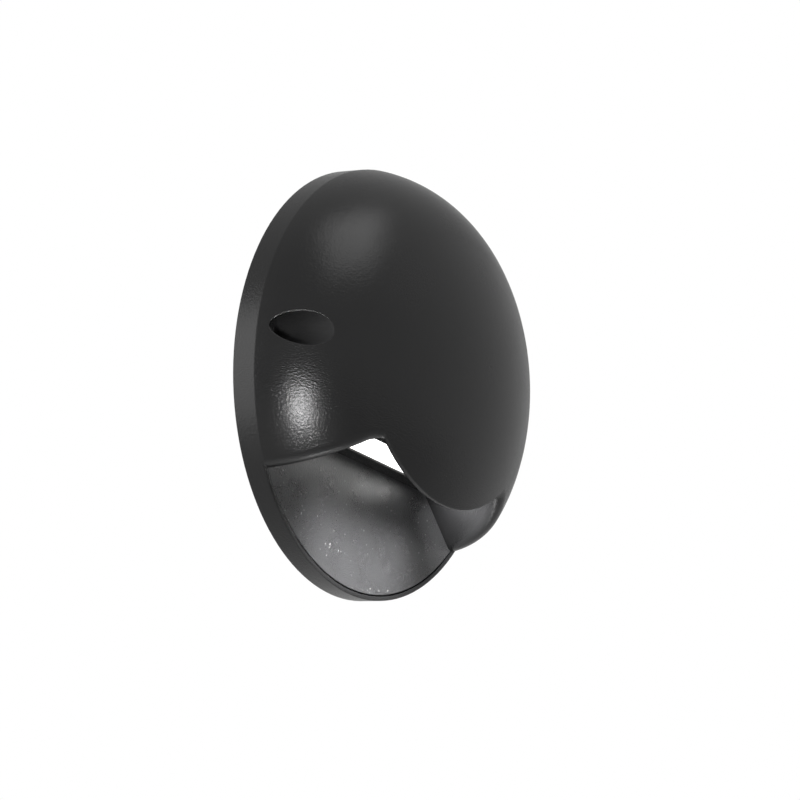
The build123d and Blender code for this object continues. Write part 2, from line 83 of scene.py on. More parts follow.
class FinishSettings(bpy.types.PropertyGroup):
    """Colours, gloss and grain of the light's finishes."""

    # The plate's paler shade of this colour is painted light, not a paler paint.
    coat_colour: bpy.props.FloatVectorProperty(
        name="Coat colour",
        description="Colour of the dome's powder coat, of which the plate's is a paler shade",
        subtype="COLOR",
        size=3,
        min=0,
        max=1,
        default=(0.003, 0.003, 0.0031),
    )
    coat_roughness: bpy.props.FloatProperty(
        name="Coat roughness",
        description="Roughness of the dome's powder coat",
        subtype="FACTOR",
        min=0,
        max=1,
        default=0.24,
    )
    coat_sheen: bpy.props.FloatProperty(
        name="Coat sheen",
        description="Specular level of the dome's powder coat",
        subtype="FACTOR",
        min=0,
        max=1,
        default=0.25,
    )
    coat_grain: bpy.props.FloatProperty(
        name="Coat grain",
        description="Width of one grain of the powder coat",
        unit="LENGTH",
        default=0.00044,
    )
    coat_relief: bpy.props.FloatProperty(
        name="Coat relief",
        description="Height of the powder coat's grain",
        unit="LENGTH",
        default=0.000054,
    )
    coat_patch: bpy.props.FloatProperty(
        name="Coat patch",
        description="Width of the patches in which the dome's tone and gloss vary",
        unit="LENGTH",
        default=0.018,
    )
    coat_fleck: bpy.props.FloatProperty(
        name="Coat fleck",
        description="Strength of the fine flecks in the dome's tone",
        default=0.6,
    )
    edge_radius: bpy.props.FloatProperty(
        name="Edge radius",
        description="Rounding that paint and casting leave on the dome's sharp edges",
        unit="LENGTH",
        default=0.0004,
    )
    plate_sheen: bpy.props.FloatProperty(
        name="Plate sheen",
        description="Specular level of the plate's powder coat",
        subtype="FACTOR",
        min=0,
        max=1,
        default=0.3,
    )
    plate_patch: bpy.props.FloatProperty(
        name="Plate patch",
        description="Width of the patches in which the plate's tone and gloss vary",
        unit="LENGTH",
        default=0.006,
    )
    plate_fleck: bpy.props.FloatProperty(
        name="Plate fleck",
        description="Strength of the fine flecks in the plate's tone",
        default=1.4,
    )
    # Painted glints: bright specks painted into the plate's colour where its coat would glint.
    painted_glint_colour: bpy.props.FloatVectorProperty(
        name="Speck colour",
        description="Colour of the bright specks on the lit floor of the opening",
        subtype="COLOR",
        size=3,
        min=0,
        max=1,
        default=(0.12, 0.12, 0.118),
    )
    painted_glint_spacing: bpy.props.FloatProperty(
        name="Speck spacing",
        description="Distance between the bright specks",
        unit="LENGTH",
        default=0.0009,
    )
    painted_glint_radius: bpy.props.FloatProperty(
        name="Speck radius",
        description="Radius of the largest bright specks",
        unit="LENGTH",
        default=0.00021,
    )
    # Painted light: a paler grey painted on the pocket walls for the light they catch.
    pocket_painted_light_colour: bpy.props.FloatVectorProperty(
        name="Pocket colour",
        description="Colour of the coat inside the screw pockets",
        subtype="COLOR",
        size=3,
        min=0,
        max=1,
        default=(0.008, 0.008, 0.0082),
    )
    pocket_roughness: bpy.props.FloatProperty(
        name="Pocket roughness",
        description="Roughness of the coat inside the screw pockets",
        subtype="FACTOR",
        min=0,
        max=1,
        default=0.75,
    )
    pocket_place: bpy.props.FloatProperty(
        name="Pocket place",
        description="Distance of each screw pocket's axis from the middle",
        unit="LENGTH",
        default=0.045,
    )
    pocket_radius: bpy.props.FloatProperty(
        name="Pocket radius",
        description="Radius of a screw pocket",
        unit="LENGTH",
        default=0.0039,
    )
    crown_radius: bpy.props.FloatProperty(
        name="Crown radius",
        description="Radius of the sphere that the dome's crown follows",
        unit="LENGTH",
        default=0.07605,
    )
    pole_reach: bpy.props.FloatProperty(
        name="Pole reach",
        description="How far round the crown's middle its shading follows that sphere",
        unit="LENGTH",
        default=0.004,
    )
    lens_colour: bpy.props.FloatVectorProperty(
        name="Lens colour",
        description="Colour of the opal lens",
        subtype="COLOR",
        size=3,
        min=0,
        max=1,
        default=(0.9, 0.9, 0.88),
    )
    glow_colour: bpy.props.FloatVectorProperty(
        name="Glow colour",
        description="Colour of the light that the lens gives off",
        subtype="COLOR",
        size=3,
        min=0,
        max=1,
        default=(1.0, 1.0, 0.985),
    )
    glow_strength: bpy.props.FloatProperty(
        name="Glow strength",
        description="Strength of the light that the lens gives off",
        default=2.5,
    )
    glow_pitch: bpy.props.FloatProperty(
        name="Glow pitch",
        description="Distance between the brighter spots that the light sources leave on the lens",
        unit="LENGTH",
        default=0.0056,
    )
    rubber_colour: bpy.props.FloatVectorProperty(
        name="Rubber colour",
        description="Colour of the seals and the cable inlet",
        subtype="COLOR",
        size=3,
        min=0,
        max=1,
        default=(0.022, 0.022, 0.023),
    )
    steel_colour: bpy.props.FloatVectorProperty(
        name="Steel colour",
        description="Colour of the screws",
        subtype="COLOR",
        size=3,
        min=0,
        max=1,
        default=(0.5, 0.5, 0.51),
    )


class PieceSettings(bpy.types.PropertyGroup):
    """Sizes of the small pieces at the back."""

    screw_head: bpy.props.FloatProperty(
        name="Screw head",
        description="Radius of a base screw's head",
        unit="LENGTH",
        default=0.003,
    )
    screw_shank: bpy.props.FloatProperty(
        name="Screw shank",
        description="Radius of a base screw's shank",
        unit="LENGTH",
        default=0.0015,
    )
    screw_socket: bpy.props.FloatProperty(
        name="Screw socket",
        description="Radius across the corners of the hexagon socket",
        unit="LENGTH",
        default=0.00105,
    )
    screw_edge: bpy.props.FloatProperty(
        name="Screw edge",
        description="Width of the small chamfers on a base screw",
        unit="LENGTH",
        default=0.00012,
    )
    screw_seed: bpy.props.IntProperty(
        name="Screw seed",
        description="Seed of the turn at which each base screw stopped",
        default=3,
    )
    inlet_bore: bpy.props.FloatProperty(
        name="Inlet bore",
        description="Radius of the hole for the cable",
        unit="LENGTH",
        default=0.0026,
    )
    inlet_neck: bpy.props.FloatProperty(
        name="Inlet neck",
        description="Radius of the inlet where it passes through the plate",
        unit="LENGTH",
        default=0.0055,
    )
    inlet_flange: bpy.props.FloatProperty(
        name="Inlet flange height",
        description="Height of each of the inlet's two flanges",
        unit="LENGTH",
        default=0.0015,
    )
    inlet_rounding: bpy.props.FloatProperty(
        name="Inlet rounding",
        description="Rounding of the inlet's edges",
        unit="LENGTH",
        default=0.0004,
    )


class StageSettings(bpy.types.PropertyGroup):
    """Camera, surroundings and floor."""

    camera_azimuth: bpy.props.FloatProperty(
        name="Camera azimuth",
        description="Camera's direction round the light, from straight in front",
        subtype="ANGLE",
        default=math.radians(-55.2045),
    )
    camera_elevation: bpy.props.FloatProperty(
        name="Camera elevation",
        description="Camera's height angle",
        subtype="ANGLE",
        default=math.radians(-14.2146),
    )
    camera_roll: bpy.props.FloatProperty(
        name="Camera roll",
        description="Turn of the camera about its line of sight",
        subtype="ANGLE",
        default=math.radians(7.1082),
    )
    camera_distance: bpy.props.FloatProperty(
        name="Camera distance",
        description="Distance from the camera to the light",
        unit="LENGTH",
        default=1.0,
    )
    camera_lens: bpy.props.FloatProperty(
        name="Focal length",
        description="Camera's focal length in millimetres",
        default=193.507,
    )
    camera_aside: bpy.props.FloatVectorProperty(
        name="Camera aside",
        description="How far the camera stands to the right of and above the light's centre",
        subtype="TRANSLATION",
        unit="LENGTH",
        size=2,
        default=(0.009735, -0.00325),
    )
    fill_strength: bpy.props.FloatProperty(
        name="Fill strength",
        description="Strength at which the white surroundings light the object",
        default=0.75,
    )
    flag_azimuth: bpy.props.FloatProperty(
        name="Flag azimuth",
        description="Direction of the grey flag round the light, from straight in front",
        subtype="ANGLE",
        default=math.radians(125.0),
    )
    flag_elevation: bpy.props.FloatProperty(
        name="Flag elevation",
        description="Height angle of the grey flag",
        subtype="ANGLE",
        default=math.radians(14.0),
    )
    flag_grey: bpy.props.FloatProperty(
        name="Flag grey",
        description="Strength of the surroundings at the middle of the grey flag, as the coat mirrors it",
        subtype="FACTOR",
        min=0,
        max=1,
        default=0.55,
    )
    floor_height: bpy.props.FloatProperty(
        name="Floor height",
        description="Height of the floor against the light's centre",
        unit="LENGTH",
        default=-0.4,
    )
    floor_reach: bpy.props.FloatProperty(
        name="Floor reach",
        description="Distance from the floor's middle to its edges",
        unit="LENGTH",
        default=3.0,
    )


class SCENE_PG_wall_light(bpy.types.PropertyGroup):
    """All settings of the wall light."""

    finish: bpy.props.PointerProperty(type=FinishSettings)
    pieces: bpy.props.PointerProperty(type=PieceSettings)
    stage: bpy.props.PointerProperty(type=StageSettings)


def settings():
    """The wall light's settings in the current scene."""
    return bpy.context.scene.wall_light


def connect(tree, value, socket):
    """Link an output to an input, or set the input's own value."""
    if isinstance(value, bpy.types.NodeSocket):
        tree.links.new(value, socket)
    else:
        socket.default_value = value


def feed(tree, target, inputs):
    """Connect values to a node's inputs, which are given by name or number."""
    for key, value in inputs.items():
        connect(tree, value, target.inputs[key])


def node(tree, kind, inputs=None, **traits):
    """Add a node: traits set its properties, and its inputs are fed."""
    made = tree.nodes.new(kind)
    for key, value in traits.items():
        setattr(made, key, value)
    feed(tree, made, inputs or {})
    return made


def math_node(tree, operation, first, second=None, clamp=False):
    """Add a math node on outputs or numbers and return its result."""
    made = node(tree, "ShaderNodeMath", {0: first}, operation=operation, use_clamp=clamp)
    if second is not None:
        connect(tree, second, made.inputs[1])
    return made.outputs[0]


def scaled(tree, value, factor, shift):
    """A value times a factor, plus a shift."""
    return math_node(tree, "ADD", math_node(tree, "MULTIPLY", value, factor), shift)


def off_middle(tree, value, amount):
    """How far a noise value lies off its middle of one half, times an amount."""
    return math_node(tree, "MULTIPLY", math_node(tree, "SUBTRACT", value, 0.5), amount)


def diagonal(tree, first, second):
    """Length of the diagonal over two distances."""
    squares = [math_node(tree, "MULTIPLY", side, side) for side in (first, second)]
    return math_node(tree, "SQRT", math_node(tree, "ADD", *squares))


def object_place(tree):
    """Object coordinates of the shaded point."""
    return node(tree, "ShaderNodeTexCoord").outputs["Object"]


def object_axes(tree):
    """Outputs X, Y and Z of the shaded point's object coordinates."""
    return node(tree, "ShaderNodeSeparateXYZ", {0: object_place(tree)}).outputs


def texture_scale(tree, width):
    """Scale at which a texture's cells are about as wide as given."""
    return math_node(tree, "DIVIDE", 1.0, width)


def noise(tree, label, place, scale, detail):
    """Value of a noise texture, which lies round one half."""
    inputs = {"Vector": place, "Scale": scale, "Detail": detail}
    return node(tree, "ShaderNodeTexNoise", inputs, label=label).outputs[0]


def blend(tree, kind, share, first, second):
    """Mix two values, vectors or colours and return the result."""
    first_input, second_input, output = MIX_SOCKETS[kind]
    inputs = {0: share, first_input: first, second_input: second}
    return node(tree, "ShaderNodeMix", inputs, data_type=kind).outputs[output]


def cover(tree, kind, mask, socket, value):
    """Put a value in place of what feeds an input, where the mask is set."""
    plain = socket.links[0].from_socket
    tree.links.new(blend(tree, kind, mask, plain, value), socket)


def group_tree(name, inputs, outputs):
    """Start a shader node group of named numbers; gives its tree, its inputs and its output node."""
    tree = bpy.data.node_groups.new(name, "ShaderNodeTree")
    for way, labels in (("INPUT", inputs), ("OUTPUT", outputs)):
        for label in labels:
            tree.interface.new_socket(label, in_out=way, socket_type="NodeSocketFloat")
    return tree, node(tree, "NodeGroupInput").outputs, node(tree, "NodeGroupOutput")


def group_node(tree, name, maker, inputs):
    """Place a shared group, which is built the first time, and return its outputs."""
    group = bpy.data.node_groups.get(name) or maker()
    return node(tree, "ShaderNodeGroup", inputs, label=name, node_tree=group).outputs


def grain_group():
    """Pebbled skin of a powder coat or a moulding: relief, tone and gloss that vary over the surface."""
    inputs, outputs = ("Grain Width", "Patch Width", "Fleck"), ("Height", "Tone", "Gloss")
    tree, source, result = group_tree("Grain", inputs, outputs)
    place = object_place(tree)
    fine = texture_scale(tree, source["Grain Width"])
    finer = math_node(tree, "MULTIPLY", fine, 1.7)
    pebbles = node(
        tree,
        "ShaderNodeTexVoronoi",
        {"Vector": place, "Scale": fine, "Smoothness": 0.6},
        label="Pebbles",
        feature="SMOOTH_F1",
    )
    dust = noise(tree, "Fine grain", place, finer, detail=1.0)
    patches = noise(tree, "Patches", place, texture_scale(tree, source["Patch Width"]), detail=3.0)
    pebble_relief = math_node(tree, "MULTIPLY", pebbles.outputs["Distance"], 0.55)
    dust_relief = math_node(tree, "MULTIPLY", dust, 0.65)
    patch_tone = scaled(tree, patches, factor=0.5, shift=0.75)
    patch_gloss = off_middle(tree, patches, amount=0.16)
    fleck = off_middle(tree, dust, source["Fleck"])
    fleck_gloss = math_node(tree, "MULTIPLY", fleck, 0.12)
    values = {
        "Height": math_node(tree, "ADD", pebble_relief, dust_relief),
        "Tone": math_node(tree, "ADD", patch_tone, fleck),
        "Gloss": math_node(tree, "SUBTRACT", patch_gloss, fleck_gloss),
    }
    feed(tree, result, values)
    return tree


def drawn_group():
    """Fine marks on bare metal, drawn out along X."""
    inputs, outputs = ("Mark Width", "Stretch"), ("Height", "Tone", "Gloss")
    tree, source, result = group_tree("Drawn Metal", inputs, outputs)
    axes = object_axes(tree)
    along = math_node(tree, "DIVIDE", axes["X"], source["Stretch"])
    place = node(tree, "ShaderNodeCombineXYZ", {"X": along, "Y": axes["Y"], "Z": axes["Z"]})
    scale = texture_scale(tree, source["Mark Width"])
    marks = noise(tree, "Marks", place.outputs[0], scale, detail=3.0)
    values = {
        "Height": marks,
        "Tone": scaled(tree, marks, factor=0.4, shift=0.8),
        "Gloss": off_middle(tree, marks, amount=0.3),
    }
    feed(tree, result, values)
    return tree


def painted_glint_group():
    """Sparse small specks of uneven size and strength: painted glints, standing in for coarse grains that
    catch the light.
    """
    tree, source, result = group_tree("Painted glints", ("Spacing", "Radius"), ("Mask",))
    spread = {"Vector": object_place(tree), "Scale": texture_scale(tree, source["Spacing"])}
    cells = node(tree, "ShaderNodeTexVoronoi", spread, label="Speck cells").outputs
    chance = node(tree, "ShaderNodeSeparateColor", {0: cells["Color"]}).outputs
    mostly_small = math_node(tree, "POWER", chance[0], 3.0)
    size = math_node(tree, "MULTIPLY", mostly_small, source["Radius"])
    reach = math_node(tree, "DIVIDE", size, source["Spacing"])
    inside = math_node(tree, "LESS_THAN", cells["Distance"], reach)
    feed(tree, result, {"Mask": math_node(tree, "MULTIPLY", inside, chance[1])})
    return tree


def pocket_group():
    """Mask of the two round pockets that lie level with the middle, left and right."""
    tree, source, result = group_tree("Pockets", ("Place", "Radius"), ("Mask",))
    axes = object_axes(tree)
    aside = math_node(tree, "SUBTRACT", math_node(tree, "ABSOLUTE", axes["X"]), source["Place"])
    away = diagonal(tree, aside, axes["Z"])
    feed(tree, result, {"Mask": math_node(tree, "LESS_THAN", away, source["Radius"])})
    return tree


def surface(name, texture, colour, roughness, relief, edge=0.0, metallic=0.0, specular=0.5):
    """Material whose colour, gloss and relief come from a shared group; an edge radius rounds its edges.

    The texture is the shared group's name, the function that makes it and its inputs.
    """
    material = bpy.data.materials.new(name)
    material.use_nodes = True
    tree = material.node_tree
    pattern = group_node(tree, *texture)
    shade = {0: tuple(colour), "Scale": pattern["Tone"]}
    tint = node(tree, "ShaderNodeVectorMath", shade, operation="SCALE")
    bump = node(tree, "ShaderNodeBump", {"Strength": 1.0, "Distance": relief, "Height": pattern["Height"]})
    if edge:
        rounding = node(tree, "ShaderNodeBevel", {"Radius": edge}, samples=6)
        tree.links.new(rounding.outputs[0], bump.inputs["Normal"])
    inputs = {
        "Base Color": tint.outputs[0],
        "Metallic": metallic,
        "Roughness": math_node(tree, "ADD", pattern["Gloss"], roughness, clamp=True),
        "Specular IOR Level": specular,
        "Normal": bump.outputs[0],
    }
    feed(tree, tree.nodes["Principled BSDF"], inputs)
    return material


def moulded(name, colour, roughness=0.5, grain=0.0003, relief=0.000012, specular=0.5):
    """Material of a moulded plastic or rubber."""
    inputs = {"Grain Width": grain, "Patch Width": 0.012, "Fleck": 0.25}
    return surface(name, ("Grain", grain_group, inputs), colour, roughness, relief, specular=specular)


def bare_metal(name, colour, roughness, stretch):
    """Material of a bare metal whose marks are drawn out by a stretch."""
    inputs = {"Mark Width": 0.00015, "Stretch": stretch}
    texture = ("Drawn Metal", drawn_group, inputs)
    return surface(name, texture, colour, roughness, relief=0.000004, metallic=1.0)


def smooth_pole(material, look):
    """Take the normal round the crown's middle, where thin facets meet, from the crown's own sphere."""
    tree = material.node_tree
    bump = next(item for item in tree.nodes if item.type == "BUMP")
    reach = look.pole_reach
    centre = (0, DOME_FRONT + look.crown_radius, 0)
    arm = node(tree, "ShaderNodeVectorMath", {0: object_place(tree), 1: centre}, operation="SUBTRACT")
    ball = node(tree, "ShaderNodeVectorMath", {0: arm.outputs[0]}, operation="NORMALIZE")
    axes = object_axes(tree)
    aside = diagonal(tree, axes["X"], axes["Z"])
    fade = node(
        tree,
        "ShaderNodeMapRange",
        {"Value": aside, "From Min": reach, "From Max": reach / 2},
        interpolation_type="SMOOTHSTEP",
    )
    outside = math_node(tree, "LESS_THAN", axes["Y"], DOME_FRONT + reach / 4)
    mask = math_node(tree, "MULTIPLY", fade.outputs[0], outside)
    cover(tree, "VECTOR", mask, bump.inputs["Normal"], ball.outputs[0])


def paint_pocket_light_and_dull(material, look):
    """Paint a paler grey into the coat inside the screw pockets, as painted light on their walls, and make
    the coat duller there.
    """
    tree = material.node_tree
    shader = tree.nodes["Principled BSDF"]
    inputs = {"Place": look.pocket_place, "Radius": look.pocket_radius}
    mask = group_node(tree, "Pockets", pocket_group, inputs)["Mask"]
    # Painted light: the pocket walls take a paler grey than the dome's coat.
    cover(tree, "RGBA", mask, shader.inputs["Base Color"], (*look.pocket_painted_light_colour, 1))
    cover(tree, "FLOAT", mask, shader.inputs["Roughness"], look.pocket_roughness)


def add_painted_glints(material, look):
    """Paint glints into a coat's colour: lighten it where specks lie on it."""
    tree = material.node_tree
    shader = tree.nodes["Principled BSDF"]
    inputs = {"Spacing": look.painted_glint_spacing, "Radius": look.painted_glint_radius}
    mask = group_node(tree, "Painted glints", painted_glint_group, inputs)["Mask"]
    # Painted glints: the specks lighten the base colour.
    cover(tree, "RGBA", mask, shader.inputs["Base Color"], (*look.painted_glint_colour, 1))


def dome_coat(look):
    """Textured black coat of the dome."""
    inputs = {"Grain Width": look.coat_grain, "Patch Width": look.coat_patch, "Fleck": look.coat_fleck}
    coat = surface(
        "Dome powder coat",
        ("Grain", grain_group, inputs),
        look.coat_colour,
        look.coat_roughness,
        look.coat_relief,
        edge=look.edge_radius,
        specular=look.coat_sheen,
    )
    smooth_pole(coat, look)
    paint_pocket_light_and_dull(coat, look)
    return coat


def plate_coat(look):
    """Coarser coat of the plate, painted paler as painted light on the lit floor of the opening, with
    painted glints as bright specks.
    """
    inputs = {"Grain Width": look.coat_grain, "Patch Width": look.plate_patch, "Fleck": look.plate_fleck}
    coat = surface(
        "Plate powder coat",
        ("Grain", grain_group, inputs),
        # Painted light: the dome's colour made paler for the light that falls on the plate.
        [PLATE_PAINTED_LIGHT_FACTOR * share for share in look.coat_colour],
        look.coat_roughness + PLATE_EXTRA_ROUGHNESS,
        look.coat_relief * PLATE_RELIEF_FACTOR,
        edge=look.edge_radius * PLATE_EDGE_FACTOR,
        specular=look.plate_sheen,
    )
    add_painted_glints(coat, look)
    return coat


def lit_lens(look):
    """Opal plastic that glows a little brighter in front of each light source."""
    lens = moulded("Opal lens", look.lens_colour, roughness=0.34, grain=0.0006, relief=0.000006)
    tree = lens.node_tree
    along = math_node(tree, "MULTIPLY", object_axes(tree)["X"], 2 * math.pi / look.glow_pitch)
    ripple = scaled(tree, math_node(tree, "COSINE", along), factor=-0.04, shift=0.96)
    channels = [math_node(tree, "MULTIPLY", ripple, share) for share in look.glow_colour]
    glow = node(tree, "ShaderNodeCombineColor", dict(enumerate(channels)))
    inputs = {"Emission Color": glow.outputs[0], "Emission Strength": look.glow_strength}
    feed(tree, tree.nodes["Principled BSDF"], inputs)
    return lens


def put(name, data):
    """Add an object to the scene."""
    made = bpy.data.objects.new(name, data)
    bpy.context.scene.collection.objects.link(made)
    return made


def dress(material, *names):
    """Give nodes of the frame one material all over."""
    for name in names:
        slots = NODES[name].data.materials
        slots.clear()
        slots.append(material)


def add_piece(name, mesh, slot, *replaced):
    """Put a finished mesh in the scene as a piece that stands for nodes of the frame."""
    piece = put(name, mesh)
    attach(piece, BODY)
    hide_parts(*replaced)


def ring(builder, steps, radius, height, shape=None):
    """Ring of vertices about Z; a shape scales the radius by the angle."""
    vertices = []
    for step in range(steps):
        angle = 2 * math.pi * step / steps
        reach = radius * shape(angle) if shape else radius
        vertices.append(builder.verts.new((reach * math.cos(angle), reach * math.sin(angle), height)))
    return vertices


def skin(builder, rings):
    """Join each ring of vertices to the next by a band of faces."""
    for first, second in zip(rings, rings[1:]):
        for spot in range(len(first)):
            after = (spot + 1) % len(first)
            builder.faces.new((first[spot], first[after], second[after], second[spot]))


def finished_mesh(builder, name):
    """Turn a builder's faces outwards and make its mesh."""
    bmesh.ops.recalc_face_normals(builder, faces=builder.faces)
    mesh = bpy.data.meshes.new(name)
    builder.to_mesh(mesh)
    builder.free()
    return mesh


def rounded(points, radius, steps=4):
    """Round each corner of a closed line of (radius, height) points, over less than half of each side."""
    side_per_rounding = 2.2
    result = []
    count = len(points)
    for spot in range(count):
        before, here, after = (Vector(points[(spot + k) % count]) for k in (-1, 0, 1))
        limits = [(other - here).length / side_per_rounding for other in (before, after)]
        reach = min(radius, *limits)
        start = here + (before - here).normalized() * reach
        end = here + (after - here).normalized() * reach
        for step in range(steps + 1):
            t = step / steps
            result.append(tuple(start * (1 - t) ** 2 + here * 2 * t * (1 - t) + end * t**2))
    return result


def inlet_mesh(sizes):
    """Rubber inlet with a neck between two rounded flanges, turned about the cable's axis."""
    flange = (GROMMET_HIGH.x - GROMMET_LOW.x) / 2
    depth = GROMMET_HIGH.y - GROMMET_LOW.y
    lip = sizes.inlet_flange
    profile = [
        (sizes.inlet_bore, 0),
        (flange, 0),
        (flange, lip),
        (sizes.inlet_neck, lip),
        (sizes.inlet_neck, depth - lip),
        (flange, depth - lip),
        (flange, depth),
        (sizes.inlet_bore, depth),
    ]
    builder = bmesh.new()
    outline = rounded(profile, sizes.inlet_rounding)
    rings = [ring(builder, INLET_STEPS, radius, height) for radius, height in outline]
    skin(builder, rings + rings[:1])
    centre = (GROMMET_LOW + GROMMET_HIGH) / 2
    place = Matrix.Translation((centre.x, GROMMET_LOW.y, centre.z))
    builder.transform(place @ Matrix.Rotation(-math.pi / 2, 4, "X"))
    mesh = finished_mesh(builder, "inlet")
    mesh.shade_smooth()
    return mesh


def hexagon(angle):
    """Distance from a hexagon's middle to its outline at an angle, where its corners lie at 1."""
    side = math.pi / 3
    return math.cos(side / 2) / math.cos(angle % side - side / 2)


def screw_mesh(sizes, length):
    """One countersunk screw with a hexagon socket, its top on z = 0 and its shank downwards."""
    head, shank, socket, edge = sizes.screw_head, sizes.screw_shank, sizes.screw_socket, sizes.screw_edge
    taper = head - shank
    socket_depth = taper * 0.95
    socket_mouth = socket * 1.06
    inside = [(socket, -socket_depth), (socket, -edge), (socket_mouth, 0)]
    outside = [
        (head - edge, 0),
        (head, -edge),
        (shank, -taper),
        (shank, edge - length),
        (shank - edge, -length),
    ]
    builder = bmesh.new()
    rings = [ring(builder, SCREW_STEPS, radius, height, hexagon) for radius, height in inside]
    rings += [ring(builder, SCREW_STEPS, radius, height) for radius, height in outside]
    skin(builder, rings)
    builder.faces.new(rings[0])
    builder.faces.new(rings[-1])
    return finished_mesh(builder, "base screw")


def screw_places():
    """Middle of each base screw's head, from the vertices of the frame's own screws."""
    screws = []
    for vertex in NODES["base_screws"].data.vertices:
        near = (screw for screw in screws if (screw[0] - vertex.co).length < BASE_SCREW_REACH)
        screw = next(near, None)
        if screw is None:
            screw = []
            screws.append(screw)
        screw.append(vertex.co.copy())
    if len(screws) != BASE_SCREW_COUNT:
        raise RuntimeError(f"found {len(screws)} base screws in the frame")
    places = []
    for screw in screws:
        across, up = [corner.x for corner in screw], [corner.z for corner in screw]
        places.append(((min(across) + max(across)) / 2, SCREW_HIGH.y, (min(up) + max(up)) / 2))
    return places


def screw_tree(material):
    """Geometry nodes: one screw on each point, turned about its own axis by a seeded amount."""
    tree = bpy.data.node_groups.new("Screws on points", "GeometryNodeTree")
    for name, kind in (("Points", "Geometry"), ("Screw", "Object"), ("Seed", "Int")):
        tree.interface.new_socket(name, in_out="INPUT", socket_type=f"NodeSocket{kind}")
    tree.interface.new_socket("Screws", in_out="OUTPUT", socket_type="NodeSocketGeometry")
    source = node(tree, "NodeGroupInput").outputs
    turn = node(tree, "FunctionNodeRandomValue", {"Seed": source["Seed"]}, data_type="FLOAT")
    largest = next(socket for socket in turn.inputs if socket.name == "Max" and socket.type == "VALUE")
    largest.default_value = math.pi / 3
    turned = next(socket for socket in turn.outputs if socket.type == "VALUE" and socket.enabled)
    angles = node(tree, "ShaderNodeCombineXYZ", {"X": -math.pi / 2, "Y": turned})
    model = node(tree, "GeometryNodeObjectInfo", {"Object": source["Screw"]})
    inputs = {
        "Points": source["Points"],
        "Instance": model.outputs["Geometry"],
        "Rotation": angles.outputs[0],
    }
    placed = node(tree, "GeometryNodeInstanceOnPoints", inputs)
    real = node(tree, "GeometryNodeRealizeInstances", {0: placed.outputs[0]})
    paint = node(tree, "GeometryNodeSetMaterial", {"Geometry": real.outputs[0], "Material": material})
    node(tree, "NodeGroupOutput", {"Screws": paint.outputs[0]})
    return tree


class WALL_LIGHT_OT_coat(bpy.types.Operator):
    """Give the cast dome and the base plate their textured black powder coat"""

    bl_idname = "wall_light.coat"
    bl_label = "Powder coat"

    def execute(self, context):
        look = settings().finish
        dress(dome_coat(look), "dome_housing")
        dress(plate_coat(look), "base_plate")
        return {"FINISHED"}


class WALL_LIGHT_OT_lens(bpy.types.Operator):
    """Light the opal lens from the row of light sources behind it"""

    bl_idname = "wall_light.lens"
    bl_label = "Lens"

    def execute(self, context):
        dress(lit_lens(settings().finish), "lens")
        return {"FINISHED"}


class WALL_LIGHT_OT_seals(bpy.types.Operator):
    """Give the seals their rubber and shape the cable inlet with its rounded flanges"""

    bl_idname = "wall_light.seals"
    bl_label = "Seals and cable inlet"

    def execute(self, context):
        look, sizes = settings().finish, settings().pieces
        rubber = moulded("Seal rubber", look.rubber_colour, roughness=0.6, grain=0.0005, specular=0.4)
        dress(rubber, "base_gasket", "lens_gasket")
        inlet = moulded("Inlet rubber", look.rubber_colour, roughness=0.55, grain=0.00035, relief=0.00002)
        mesh = inlet_mesh(sizes)
        mesh.materials.append(inlet)
        add_piece("inlet_rubber", mesh, "seal_rubber", "cable_grommet")
        return {"FINISHED"}


class WALL_LIGHT_OT_screws(bpy.types.Operator):
    """Set the four base screws in their countersinks and finish the hidden screws"""

    bl_idname = "wall_light.screws"
    bl_label = "Screws"

    def execute(self, context):
        look, sizes = settings().finish, settings().pieces
        steel = bare_metal("Screw steel", look.steel_colour, roughness=0.3, stretch=1.0)
        dress(steel, "heat_spreader_screws", "led_board_screws", "terminal_screws")
        dress(steel, "driver_screws", "driver_standoffs")
        points = bpy.data.meshes.new("screw places")
        points.from_pydata(screw_places(), [], [])
        carrier = put("screw_places", points)
        model = put("screw_model", screw_mesh(sizes, SCREW_HIGH.y - SCREW_LOW.y))
        faces = len(points.vertices) * len(model.data.polygons)
        modifier = carrier.modifiers.new("Screws", "NODES")
        modifier.node_group = screw_tree(steel)
        items = modifier.node_group.interface.items_tree
        sockets = {item.name: item.identifier for item in items if item.in_out == "INPUT"}
        modifier[sockets["Screw"]] = model
        modifier[sockets["Seed"]] = sizes.screw_seed
        depsgraph = context.evaluated_depsgraph_get()
        mesh = bpy.data.meshes.new_from_object(carrier.evaluated_get(depsgraph))
        carrier.modifiers.remove(modifier)
        bpy.data.objects.remove(carrier)
        bpy.data.objects.remove(model)
        if len(mesh.polygons) != faces:
            raise RuntimeError(f"the base screws have {len(mesh.polygons)} faces instead of {faces}")
        add_piece("base_screw_set", mesh, "screw_steel", "base_screws")
        return {"FINISHED"}


class WALL_LIGHT_OT_heat_parts(bpy.types.Operator):
    """Finish the light sources, their board, the reflector and the heat path"""

    bl_idname = "wall_light.heat_parts"
    bl_label = "Light sources and heat path"

    def execute(self, context):
        dress(moulded("Reflector white", (0.9, 0.9, 0.88), roughness=0.22, relief=0.000004), "reflector")
        dress(moulded("Board white", (0.82, 0.82, 0.8), roughness=0.38, grain=0.0004), "led_board")
        dress(moulded("Phosphor", (0.86, 0.68, 0.2), roughness=0.3, grain=0.00025), "leds")
        dress(moulded("Heat pad", (0.24, 0.25, 0.27), roughness=0.75, grain=0.0006), "thermal_pad")
        aluminium = bare_metal("Drawn aluminium", (0.66, 0.66, 0.67), roughness=0.34, stretch=40.0)
        dress(aluminium, "heat_spreader")
        return {"FINISHED"}


